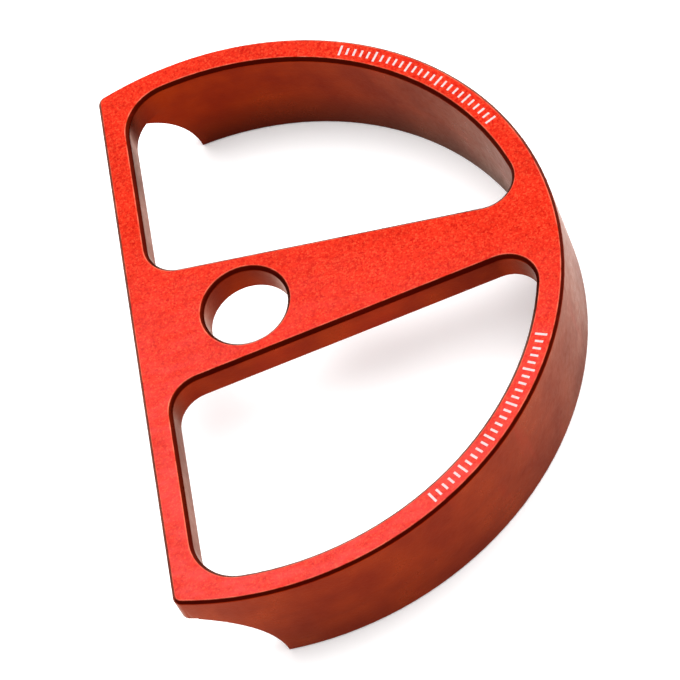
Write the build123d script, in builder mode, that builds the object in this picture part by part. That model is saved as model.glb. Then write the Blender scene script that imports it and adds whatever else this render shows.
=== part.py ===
from build123d import *
import os
from math import sqrt

# D-shaped descender frame, machined in one piece from aluminium plate: a flat web with two windows,
# a centre spoke with a round eye, and a deep curved rim whose two ends are bitten away under the
# straight bar. Two rows of filled tick marks sit flush in the top face of the rim.
#
# Millimetres, +Z up, lying on its rim. The origin is below the middle of the outline, at the height
# of the rim's lower face. The straight bar runs along Y on the -X side, and the rim's crown is at +X.

# Outline
frame_length = 90.0  # along Y, the length of the straight bar
frame_depth = 63.7  # along X, from the bar's outer face to the crown of the rim
rim_height = 16.2  # along Z, from the rim's lower face to the flat top face
outer_corner_radius = 1.5

# Walls
web_thickness = 4.7
bar_width = 4.0
rim_wall = 4.0

# Centre spoke, which narrows towards the rim
spoke_width_at_bar = 21.8  # measured at the bar's outer face
spoke_width_at_rim = 8.3  # measured at the rim's inner wall
eye_diameter = 12.5
eye_setback = 17.0  # from the bar's outer face to the middle of the eye

# Inside corners of the windows
bar_to_rim_radius = 7.0
bar_to_spoke_radius = 4.8
spoke_to_rim_radius = 4.6

# Bites in the two ends of the rim, under the web
bite_reach_at_web = 2.2  # from the bar's outer face, just under the web
bite_reach_at_base = 11.7  # from the bar's outer face, at the rim's lower face

# Broken edges
window_edge_break = 0.55
outer_edge_break = 0.45
lower_edge_break = 0.2

# Filled tick marks on the rim's top face, as angles round the rim's own centre
mark_count = 26
mark_pitch_degrees = 1.45
mark_first_degrees = 25.0
marks_per_group = 5
mark_width = 0.35
mark_depth = 0.1
long_mark_length = 1.8
short_mark_length = 1.2

# Worked out from the sizes above
bar_face_x = -frame_depth / 2
crown_x = frame_depth / 2
half_length = frame_length / 2
outer_radius = (half_length**2 + frame_depth**2) / (2 * frame_depth)
inner_radius = outer_radius - rim_wall
rim_centre_x = crown_x - outer_radius
window_bar_x = bar_face_x + bar_width
rim_wall_x = crown_x - rim_wall
web_underside = rim_height - web_thickness
web_middle = rim_height - web_thickness / 2
bite_run = bite_reach_at_base - bite_reach_at_web
bite_radius = (bite_run**2 + web_underside**2) / (2 * bite_run)  # its arc ends upright at the base
mark_radius = outer_radius - (outer_edge_break + rim_wall - window_edge_break) / 2
spoke_slope = (spoke_width_at_bar - spoke_width_at_rim) / 2 / (rim_wall_x - bar_face_x)


def spoke_edge_y(x):
    """Half the width of the spoke at x."""
    return spoke_width_at_bar / 2 - spoke_slope * (x - bar_face_x)


def spoke_meets_rim():
    """The point where the edge of the spoke runs into the inner wall of the rim."""
    edge_at_centre = spoke_edge_y(rim_centre_x)
    a = 1 + spoke_slope**2
    b = -spoke_slope * edge_at_centre
    c = edge_at_centre**2 - inner_radius**2
    run = (-b + sqrt(b**2 - a * c)) / a
    return (rim_centre_x + run, edge_at_centre - spoke_slope * run)


def window_corners():
    """The three sharp corners of the window on the +Y side, before they are rounded."""
    bar_and_rim = (window_bar_x, sqrt(inner_radius**2 - (window_bar_x - rim_centre_x) ** 2))
    bar_and_spoke = (window_bar_x, spoke_edge_y(window_bar_x))
    return bar_and_rim, bar_and_spoke, spoke_meets_rim()


def draw_marks(side):
    """Draws one row of marks in the open sketch: side is 1 for the +Y row and -1 for the -Y row."""
    for number in range(mark_count):
        angle = side * (mark_first_degrees + mark_pitch_degrees * number)
        length = long_mark_length if number % marks_per_group == 0 else short_mark_length
        place = Vector(mark_radius, 0).rotate(Axis.Z, angle) + Vector(rim_centre_x, 0)
        with Locations(Location((place.X, place.Y), angle)):
            Rectangle(length, mark_width)


# The D-shaped outline that the web and the rim share
with BuildSketch() as outline:
    with BuildLine():
        ThreePointArc((bar_face_x, -half_length), (crown_x, 0), (bar_face_x, half_length))
        Line((bar_face_x, half_length), (bar_face_x, -half_length))
    make_face()
    fillet(outline.vertices(), outer_corner_radius)

# Flat web: the outline with its two windows and the eye, all edges broken
with BuildPart() as web:
    with BuildSketch(Plane.XY.offset(web_underside)):
        add(outline.sketch)
    extrude(amount=web_thickness)
    chamfer(web.faces().sort_by(Axis.Z)[-1].edges(), outer_edge_break)
    chamfer(web.faces().sort_by(Axis.Z)[0].edges(), lower_edge_break)

    bar_and_rim, bar_and_spoke, spoke_and_rim = window_corners()
    with BuildSketch(Plane.XY.offset(web_underside)) as window:
        with BuildLine():
            Line(bar_and_rim, bar_and_spoke)
            Line(bar_and_spoke, spoke_and_rim)
            RadiusArc(spoke_and_rim, bar_and_rim, -inner_radius)
        make_face()
        fillet(window.vertices().group_by(Axis.X)[0].sort_by(Axis.Y)[-1], bar_to_rim_radius)
        fillet(window.vertices().group_by(Axis.X)[0].sort_by(Axis.Y)[0], bar_to_spoke_radius)
        fillet(window.vertices().sort_by(Axis.X)[-1], spoke_to_rim_radius)
        mirror(about=Plane.XZ)
    extrude(amount=web_thickness, mode=Mode.SUBTRACT)
    with Locations((bar_face_x + eye_setback, 0, rim_height)):
        Hole(eye_diameter / 2, depth=web_thickness)
    top_face = web.faces().filter_by(Axis.Z).sort_by(Axis.Z)[-1]
    underside = web.faces().filter_by(Axis.Z).sort_by(Axis.Z)[0]
    chamfer([edge for wire in top_face.inner_wires() for edge in wire.edges()], window_edge_break)
    chamfer([edge for wire in underside.inner_wires() for edge in wire.edges()], lower_edge_break)

# Frame: the deep rim with its bitten ends, joined to the web
with BuildPart() as frame:
    with BuildSketch():
        add(outline.sketch)
        with Locations((rim_centre_x, 0)):
            Circle(inner_radius, mode=Mode.SUBTRACT)
    extrude(amount=web_middle)
    with BuildSketch(Plane.XZ):
        with BuildLine():
            Polyline(
                (bar_face_x + bite_reach_at_web, web_underside),
                (bar_face_x + bite_reach_at_web, rim_height),
                (bar_face_x - bite_reach_at_base, rim_height),
                (bar_face_x - bite_reach_at_base, 0),
                (bar_face_x + bite_reach_at_base, 0),
            )
            RadiusArc(
                (bar_face_x + bite_reach_at_base, 0),
                (bar_face_x + bite_reach_at_web, web_underside),
                -bite_radius,
            )
        make_face()
    extrude(amount=frame_length, both=True, mode=Mode.SUBTRACT)
    chamfer(frame.edges().group_by(Axis.Z)[0], lower_edge_break)
    add(web.part)

    # Recesses for the marks, from their floor up to the top face
    for side in (1, -1):
        with BuildSketch(Plane.XY.offset(rim_height - mark_depth)):
            draw_marks(side)
        extrude(amount=mark_depth, mode=Mode.SUBTRACT)

# Filling of the marks, flush with the rim's top face
with BuildPart() as left_marking:
    with BuildSketch(Plane.XY.offset(rim_height - mark_depth)):
        draw_marks(1)
    extrude(amount=mark_depth)

with BuildPart() as right_marking:
    with BuildSketch(Plane.XY.offset(rim_height - mark_depth)):
        draw_marks(-1)
    extrude(amount=mark_depth)

frame.part.label = "frame"
left_marking.part.label = "left_marking"
right_marking.part.label = "right_marking"

os.makedirs("parts", exist_ok=True)
export_step(frame.part, "parts/frame.step")
export_step(left_marking.part, "parts/left_marking.step")
export_step(right_marking.part, "parts/right_marking.step")
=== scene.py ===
import math

import bmesh
import bpy
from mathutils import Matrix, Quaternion, Vector


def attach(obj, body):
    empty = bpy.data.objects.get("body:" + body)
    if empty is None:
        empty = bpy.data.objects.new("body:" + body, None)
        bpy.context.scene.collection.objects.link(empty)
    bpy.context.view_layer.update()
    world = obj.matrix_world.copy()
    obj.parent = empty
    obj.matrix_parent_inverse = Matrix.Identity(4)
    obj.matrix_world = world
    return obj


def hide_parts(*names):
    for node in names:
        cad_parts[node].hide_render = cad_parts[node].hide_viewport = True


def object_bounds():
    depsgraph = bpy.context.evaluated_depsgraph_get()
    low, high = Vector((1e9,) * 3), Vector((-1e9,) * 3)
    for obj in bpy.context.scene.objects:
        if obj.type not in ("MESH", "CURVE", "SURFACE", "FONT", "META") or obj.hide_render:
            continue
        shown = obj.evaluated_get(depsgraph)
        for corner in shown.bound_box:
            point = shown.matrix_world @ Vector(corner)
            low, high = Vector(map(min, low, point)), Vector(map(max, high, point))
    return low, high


# A red anodised aluminium descender frame on a pale studio floor. Metres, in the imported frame's own axes:
# +Z up, the straight bar along Y on the -X side, the crown of the rim at +X.

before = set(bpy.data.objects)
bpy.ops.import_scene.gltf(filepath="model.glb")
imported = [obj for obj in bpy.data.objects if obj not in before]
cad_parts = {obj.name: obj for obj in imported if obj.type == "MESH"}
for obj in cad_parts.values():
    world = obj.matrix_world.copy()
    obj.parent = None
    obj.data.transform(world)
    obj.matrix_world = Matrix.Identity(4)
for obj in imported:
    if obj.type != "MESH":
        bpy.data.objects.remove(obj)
cad_low, cad_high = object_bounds()
MM = 0.001
UP = Vector((0, 0, 1))

# Camera: direction round the object, roll about the line of sight, lens and aim
CAMERA_AZIMUTH = math.radians(13.15)
CAMERA_ELEVATION = math.radians(53.82)
CAMERA_ROLL = math.radians(-27.09)
CAMERA_DISTANCE = 0.4889
CAMERA_LENS_MM = 180.0
CAMERA_SENSOR_MM = 36.0
CAMERA_AIM_OFFSET = Vector((-3.56 * MM, -4.98 * MM, 0.1 * MM))

# The crease left where a broken edge meets the top face, rounded by bead blasting
SOFT_EDGE_WIDTH = 0.12 * MM
SOFT_EDGE_SEGMENTS = 2
SOFT_EDGE_ZONE = 1.0 * MM  # below the top face
CREASE_ANGLE = math.radians(25)
CHAMFER_SLOPE = (0.55, 0.85)  # how far a broken edge's face points up or down
FACE_TOLERANCE = math.radians(0.5)  # facets closer than this are merged

# Painted sheen: the top face is painted paler towards the -Y end of the bar
PAINTED_SHEEN_TOWARDS = Vector((-0.325, -0.946, 0))
PAINTED_SHEEN_SPAN = (-8 * MM, 32 * MM)

# Studio dome: brightest towards this direction, from DOME_FADE[0] to DOME_FADE[1] of its cosine
DOME_TOWARDS = Vector((0.08, 0.57, 0.82))
DOME_FADE = (0.40, 0.94)
DOME_DIM = 0.50
DOME_BRIGHT = 4.2

# Floor, which gives off a little light of its own
FLOOR_SIZE = 4.0
FLOOR_GAP = 0.02 * MM
FLOOR_GREY = (0.92, 0.92, 0.92, 1)
FLOOR_ROUGHNESS = 0.9
FLOOR_SHINE = 0.2
FLOOR_GLOW = 0.2
WHITE = (1, 1, 1, 1)

# Anodising on the top face, lighter than on the walls as painted light: two ends of its speckle, then what
# is laid over it, painted glints and a painted sheen included
FACE_DEEP = (0.19, 0.002, 0.001, 1)
FACE_LIGHT = (0.345, 0.017, 0.006, 1)
FACE_MOTTLE = (0.26, 0.008, 0.003, 1)
FACE_PAINTED_GLINT = (0.44, 0.070, 0.026, 1)
FACE_PAINTED_SHEEN = (0.38, 0.057, 0.056, 1)

# Anodising on the walls, darker than on the top face as painted shade, and painted shade at the inner
# wall's foot and on the broken edges between them and the faces
WALL_DEEP = (0.165, 0.009, 0.001, 1)
WALL_LIGHT = (0.225, 0.018, 0.001, 1)
WALL_FEED = (0.125, 0.006, 0.001, 1)
WALL_PAINTED_FOOT_SHADE = (0.045, 0.004, 0.002, 1)
BROKEN_EDGE_PAINTED_SHADE = (0.05, 0.001, 0.001, 1)

# Anodising everywhere: faint streaks, a painted highlight line on a rounded crease, and the tint of a
# surface seen edge on
STREAK = (0.30, 0.009, 0.004, 1)
CREASE_PAINTED_HIGHLIGHT = (0.46, 0.110, 0.065, 1)
GRAZING_TINT = (0.84, 0.78, 0.70, 1)

# How strongly each is mixed in, at most
MOTTLE_STRENGTH = 0.5
GLINT_STRENGTH = 0.30
PAINTED_SHEEN_STRENGTH = 0.3
PAINTED_SHEEN_PATCHINESS = (0.6, 1.25)
FEED_STRENGTH = 0.3
FOOT_SHADE_STRENGTH = 0.75
BROKEN_EDGE_SHADE_STRENGTH = 0.7
STREAK_STRENGTH = 0.25
CREASE_HIGHLIGHT_STRENGTH = 0.5

# Sizes of the noises, in cycles per metre; a stretched one has a size for each axis
SPECKLE_SCALE = 2200
GRAIN_SCALE = 1100
MOTTLE_SCALE = 700
GLINT_SCALE = 3800
CLOUD_SCALE = 150
CREASE_HIGHLIGHT_SCALE = 500
COVER_SCALE = 3500
PATCH_STRETCH = (250, 600, 250)
PATCH_TURN = math.radians(25)
FEED_STRETCH = (60, 60, 700)
STREAK_STRETCH = (30, 420, 60)
STREAK_TURN = math.radians(12)

# The part of a noise's range over which its effect comes in
MIDDLE = (0.35, 0.65)
WIDE = (0.3, 0.7)
CLOUD_RANGE = (0.35, 0.70)
GLINT_RANGE = (0.52, 0.70)
FEED_RANGE = (0.45, 0.75)
STREAK_RANGE = (0.60, 0.75)
COVER_RANGE = (0.3, 0.55)

# How far up a surface has to face to count, from not at all to fully: as the top face, as a broken edge or
# more, and as a rounded crease or more
TOP_SLOPE = (0.85, 0.99)
BROKEN_SLOPE = (0.35, 0.60)
CREASE_SLOPE = (0.75, 0.90)

# Painted shade: the rim's inner wall is painted darker towards its foot
FOOT_SHADE_HEIGHT = 8 * MM
INWARD_REACH = -0.005  # normal times position, where a wall counts fully as facing inwards

# Roughness of the metal, and its relief
GRAIN_ROUGHNESS = 0.08
CLOUD_ROUGHNESS = (0.34, 0.24)
TOP_EXTRA_ROUGHNESS = 0.12
BLAST_DEPTH = 0.05 * MM
SPECKLE_RELIEF = 0.35
GRAIN_RELIEF = 0.2

# Laser marks
MARK_THIN = (0.42, 0.25, 0.24, 1)
MARK_FULL = (0.42, 0.385, 0.385, 1)
MARK_ROUGHNESS = (0.6, 0.9)
MARK_DEPTH = 0.03 * MM
MARK_RELIEF = 0.4

# Mesh clean-up
MERGE_DISTANCE = 0.001 * MM
BEVEL_PROFILE = 0.5
NORMAL_WEIGHT = 80


# ---------------------------------------------------------------- node helpers

def new_material(name):
    material = bpy.data.materials.new(name)
    material.use_nodes = True
    tree = material.node_tree
    tree.nodes.clear()
    output = tree.nodes.new("ShaderNodeOutputMaterial")
    shader = tree.nodes.new("ShaderNodeBsdfPrincipled")
    tree.links.new(shader.outputs[0], output.inputs["Surface"])
    return material, tree, shader


def put(tree, socket, value):
    """Sets a socket to a number or colour, or links another node's output to it."""
    if isinstance(value, bpy.types.NodeSocket):
        tree.links.new(value, socket)
    else:
        socket.default_value = value


def coordinates(tree):
    return tree.nodes.new("ShaderNodeTexCoord").outputs["Object"]


def noise(tree, vector, scale=1.0, detail=2.0, roughness=0.5):
    texture = tree.nodes.new("ShaderNodeTexNoise")
    put(tree, texture.inputs["Vector"], vector)
    texture.inputs["Scale"].default_value = scale
    texture.inputs["Detail"].default_value = detail
    texture.inputs["Roughness"].default_value = roughness
    return texture.outputs["Fac"]


def stretched(tree, vector, scale, turn=0.0):
    mapping = tree.nodes.new("ShaderNodeMapping")
    put(tree, mapping.inputs["Vector"], vector)
    mapping.inputs["Scale"].default_value = scale
    mapping.inputs["Rotation"].default_value = (0, 0, turn)
    return mapping.outputs["Vector"]


def remap(tree, value, low, high, new_low=0.0, new_high=1.0):
    node = tree.nodes.new("ShaderNodeMapRange")
    node.clamp = True
    put(tree, node.inputs["Value"], value)
    for name, number in (("From Min", low), ("From Max", high), ("To Min", new_low), ("To Max", new_high)):
        node.inputs[name].default_value = number
    return node.outputs["Result"]


def maths(tree, operation, first, second):
    node = tree.nodes.new("ShaderNodeMath")
    node.operation = operation
    put(tree, node.inputs[0], first)
    put(tree, node.inputs[1], second)
    return node.outputs[0]


def mixed(tree, factor, first, second):
    node = tree.nodes.new("ShaderNodeMix")
    node.data_type = "RGBA"
    put(tree, node.inputs["Factor"], factor)
    put(tree, node.inputs["A"], first)
    put(tree, node.inputs["B"], second)
    return node.outputs["Result"]


def bumped(tree, height, distance, strength, normal=None):
    node = tree.nodes.new("ShaderNodeBump")
    node.inputs["Distance"].default_value = distance
    node.inputs["Strength"].default_value = strength
    put(tree, node.inputs["Height"], height)
    if normal is not None:
        put(tree, node.inputs["Normal"], normal)
    return node.outputs["Normal"]


def along(tree, vector, direction):
    """How far a vector reaches along a direction: their dot product."""
    node = tree.nodes.new("ShaderNodeVectorMath")
    node.operation = "DOT_PRODUCT"
    put(tree, node.inputs[0], vector)
    put(tree, node.inputs[1], direction)
    return node.outputs["Value"]


def surface_normal(tree):
    return tree.nodes.new("ShaderNodeNewGeometry").outputs["Normal"]


def facing_up(tree, low, high):
    """0 where a surface's upward slope is below low, 1 where it is above high."""
    split = tree.nodes.new("ShaderNodeSeparateXYZ")
    tree.links.new(surface_normal(tree), split.inputs[0])
    return remap(tree, split.outputs["Z"], low, high)


def facing_inwards(tree, place):
    """1 where a surface faces the middle of the frame, 0 where it faces away from it."""
    return remap(tree, along(tree, surface_normal(tree), place), 0.0, INWARD_REACH)


# ---------------------------------------------------------------- materials

def face_colour_and_painted_light(tree, place, speckle):
    """The colour of the top face: speckled and mottled, with painted glints and a painted sheen that makes
    it paler towards the -Y end of the bar.
    """
    mottle = noise(tree, place, MOTTLE_SCALE, detail=3, roughness=0.6)
    painted_glint = noise(tree, place, GLINT_SCALE, detail=1)
    patch = noise(tree, stretched(tree, place, PATCH_STRETCH, PATCH_TURN), detail=3)
    colour = mixed(tree, remap(tree, speckle, *MIDDLE), FACE_DEEP, FACE_LIGHT)
    colour = mixed(tree, remap(tree, mottle, *MIDDLE, 0.0, MOTTLE_STRENGTH), colour, FACE_MOTTLE)
    # Painted glints: bright highlight specks painted into the top face's colour
    colour = mixed(tree, remap(tree, painted_glint, *GLINT_RANGE, 0.0, GLINT_STRENGTH), colour, FACE_PAINTED_GLINT)
    # Painted sheen: the top face painted paler towards the -Y end of the bar, in uneven patches
    painted_sheen = remap(tree, along(tree, place, PAINTED_SHEEN_TOWARDS), *PAINTED_SHEEN_SPAN, 0.0, PAINTED_SHEEN_STRENGTH)
    painted_sheen = maths(tree, "MULTIPLY", painted_sheen, remap(tree, patch, *MIDDLE, *PAINTED_SHEEN_PATCHINESS))
    return mixed(tree, painted_sheen, colour, FACE_PAINTED_SHEEN)


def wall_colour_and_painted_shade(tree, place, cloud):
    """The colour of the walls and the broken edges, with painted shade at the inner wall's foot and on the
    broken edges.
    """
    feed = noise(tree, stretched(tree, place, FEED_STRETCH), detail=4, roughness=0.6)
    colour = mixed(tree, remap(tree, cloud, *CLOUD_RANGE), WALL_DEEP, WALL_LIGHT)
    colour = mixed(tree, remap(tree, feed, *FEED_RANGE, 0.0, FEED_STRENGTH), colour, WALL_FEED)
    # Painted shade: inward-facing walls painted darker towards their foot
    foot_shade = remap(tree, along(tree, place, UP), FOOT_SHADE_HEIGHT, 0.0, 0.0, FOOT_SHADE_STRENGTH)
    foot_shade = maths(tree, "MULTIPLY", foot_shade, facing_inwards(tree, place))
    colour = mixed(tree, foot_shade, colour, WALL_PAINTED_FOOT_SHADE)
    # Painted shade: the sloping broken edges painted dark
    broken_edge_shade = maths(tree, "SUBTRACT", facing_up(tree, *BROKEN_SLOPE), facing_up(tree, *CREASE_SLOPE))
    return mixed(tree, maths(tree, "MULTIPLY", broken_edge_shade, BROKEN_EDGE_SHADE_STRENGTH), colour, BROKEN_EDGE_PAINTED_SHADE)


def anodised_red(name, crease=False):
    """Bead-blasted, red anodised aluminium. crease adds a fine painted highlight line on a rounded crease.
    """
    material, tree, shader = new_material(name)
    place = coordinates(tree)
    top = facing_up(tree, *TOP_SLOPE)
    speckle = noise(tree, place, SPECKLE_SCALE, detail=3, roughness=0.7)
    grain = noise(tree, place, GRAIN_SCALE)
    cloud = noise(tree, place, CLOUD_SCALE, detail=4)
    streak = noise(tree, stretched(tree, place, STREAK_STRETCH, STREAK_TURN), detail=3)

    # The top face gets lighter colours as painted light, the walls darker ones as painted shade
    colour = mixed(tree, top, wall_colour_and_painted_shade(tree, place, cloud), face_colour_and_painted_light(tree, place, speckle))
    colour = mixed(tree, remap(tree, streak, *STREAK_RANGE, 0.0, STREAK_STRENGTH), colour, STREAK)
    if crease:
        # Painted highlight: a thin pale line painted along the rounded crease, patchy along its length
        crease_highlight = remap(tree, noise(tree, place, CREASE_HIGHLIGHT_SCALE, detail=4), *MIDDLE, 0.0, CREASE_HIGHLIGHT_STRENGTH)
        crease_highlight = maths(tree, "MULTIPLY", crease_highlight, facing_up(tree, *CREASE_SLOPE))
        colour = mixed(tree, crease_highlight, colour, CREASE_PAINTED_HIGHLIGHT)
    put(tree, shader.inputs["Base Color"], colour)
    shader.inputs["Metallic"].default_value = 1.0
    shader.inputs["Specular Tint"].default_value = GRAZING_TINT

    grain_rough = remap(tree, grain, *WIDE, 0.0, GRAIN_ROUGHNESS)
    cloud_rough = remap(tree, cloud, *CLOUD_RANGE, *CLOUD_ROUGHNESS)
    top_rough = maths(tree, "MULTIPLY", top, TOP_EXTRA_ROUGHNESS)
    rough = maths(tree, "ADD", maths(tree, "ADD", grain_rough, cloud_rough), top_rough)
    put(tree, shader.inputs["Roughness"], rough)

    blasted = bumped(tree, speckle, BLAST_DEPTH, SPECKLE_RELIEF)
    top_grain = maths(tree, "MULTIPLY", grain, top)
    put(tree, shader.inputs["Normal"], bumped(tree, top_grain, BLAST_DEPTH, GRAIN_RELIEF, blasted))
    return material


def white_mark():
    """The frosty white of a laser mark, with slightly uneven cover."""
    material, tree, shader = new_material("laser_mark")
    cover = noise(tree, coordinates(tree), COVER_SCALE, detail=3, roughness=0.7)
    colour = mixed(tree, remap(tree, cover, *COVER_RANGE), MARK_THIN, MARK_FULL)
    put(tree, shader.inputs["Base Color"], colour)
    put(tree, shader.inputs["Roughness"], remap(tree, cover, *WIDE, *MARK_ROUGHNESS))
    put(tree, shader.inputs["Normal"], bumped(tree, cover, MARK_DEPTH, MARK_RELIEF))
    return material


def floor_material():
    material, _, shader = new_material("studio_floor")
    shader.inputs["Base Color"].default_value = FLOOR_GREY
    shader.inputs["Roughness"].default_value = FLOOR_ROUGHNESS
    shader.inputs["Specular IOR Level"].default_value = FLOOR_SHINE
    shader.inputs["Emission Color"].default_value = WHITE
    shader.inputs["Emission Strength"].default_value = FLOOR_GLOW
    return material


# ---------------------------------------------------------------- pieces

def is_chamfer(face):
    return CHAMFER_SLOPE[0] < abs(face.normal.z) < CHAMFER_SLOPE[1]


def needs_softening(edge):
    """True for a crease along a broken edge of the top face."""
    if len(edge.link_faces) != 2 or edge.calc_face_angle() < CREASE_ANGLE:
        return False
    if min(vertex.co.z for vertex in edge.verts) < cad_high.z - SOFT_EDGE_ZONE:
        return False
    return any(is_chamfer(face) for face in edge.link_faces)


def milled_frame(material, edge_material):
    """The CAD frame with its creases rounded as bead blasting leaves them."""
    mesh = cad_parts["frame"].data.copy()
    mesh.name = "milled_frame"
    bm = bmesh.new()
    bm.from_mesh(mesh)
    bmesh.ops.remove_doubles(bm, verts=bm.verts, dist=MERGE_DISTANCE)
    bmesh.ops.dissolve_limit(bm, angle_limit=FACE_TOLERANCE, verts=bm.verts, edges=bm.edges, delimit=set())
    bm.normal_update()
    creases = [edge for edge in bm.edges if needs_softening(edge)]
    bmesh.ops.bevel(
        bm,
        geom=creases,
        offset=SOFT_EDGE_WIDTH,
        offset_type="OFFSET",
        segments=SOFT_EDGE_SEGMENTS,
        profile=BEVEL_PROFILE,
        affect="EDGES",
        clamp_overlap=True,
        material=1,
    )
    for face in bm.faces:
        face.smooth = True
    clean = bpy.data.meshes.new("milled_frame")
    bm.to_mesh(clean)
    bm.free()
    bpy.data.meshes.remove(mesh)
    clean.materials.append(material)
    clean.materials.append(edge_material)
    clean.set_sharp_from_angle(angle=CREASE_ANGLE)
    piece = bpy.data.objects.new("milled_frame", clean)
    bpy.context.scene.collection.objects.link(piece)
    normals = piece.modifiers.new("even_normals", "WEIGHTED_NORMAL")
    normals.keep_sharp = True
    normals.weight = NORMAL_WEIGHT
    return piece


# ---------------------------------------------------------------- studio

def make_camera():
    data = bpy.data.cameras.new("camera")
    data.sensor_width = CAMERA_SENSOR_MM
    data.lens = CAMERA_LENS_MM
    camera = bpy.data.objects.new("camera", data)
    back = Vector((
        math.sin(CAMERA_AZIMUTH) * math.cos(CAMERA_ELEVATION),
        -math.cos(CAMERA_AZIMUTH) * math.cos(CAMERA_ELEVATION),
        math.sin(CAMERA_ELEVATION),
    ))
    camera.location = centre + CAMERA_AIM_OFFSET + back * CAMERA_DISTANCE
    camera.rotation_mode = "QUATERNION"
    camera.rotation_quaternion = (-back).to_track_quat("-Z", "Y") @ Quaternion(UP, CAMERA_ROLL)
    bpy.context.scene.collection.objects.link(camera)
    bpy.context.scene.camera = camera


def make_floor():
    mesh = bpy.data.meshes.new("studio_floor")
    half = FLOOR_SIZE / 2
    level = cad_low.z - FLOOR_GAP
    corners = [(-half, -half, level), (half, -half, level), (half, half, level), (-half, half, level)]
    mesh.from_pydata(corners, [], [(0, 1, 2, 3)])
    floor = bpy.data.objects.new("studio_floor", mesh)
    mesh.materials.append(floor_material())
    bpy.context.scene.collection.objects.link(floor)


def make_world():
    """A soft studio dome: bright above and behind the object, dim on the camera's side."""
    world = bpy.data.worlds.new("studio")
    world.use_nodes = True
    tree = world.node_tree
    direction = tree.nodes.new("ShaderNodeTexCoord").outputs["Generated"]
    aim = along(tree, direction, DOME_TOWARDS.normalized())
    fade = remap(tree, aim, *DOME_FADE, DOME_DIM, DOME_BRIGHT)
    fade.node.interpolation_type = "SMOOTHSTEP"
    tree.links.new(fade, tree.nodes["Background"].inputs["Strength"])
    tree.nodes["Background"].inputs["Color"].default_value = WHITE
    bpy.context.scene.world = world


centre = (cad_low + cad_high) / 2
bpy.context.scene.view_settings.view_transform = "Standard"

body = milled_frame(anodised_red("anodised_red"), anodised_red("anodised_edge", crease=True))
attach(body, "root")
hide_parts("frame")

marks = white_mark()
for name in ("left_marking", "right_marking"):
    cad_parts[name].material_slots[0].material = marks

make_floor()
make_world()
make_camera()
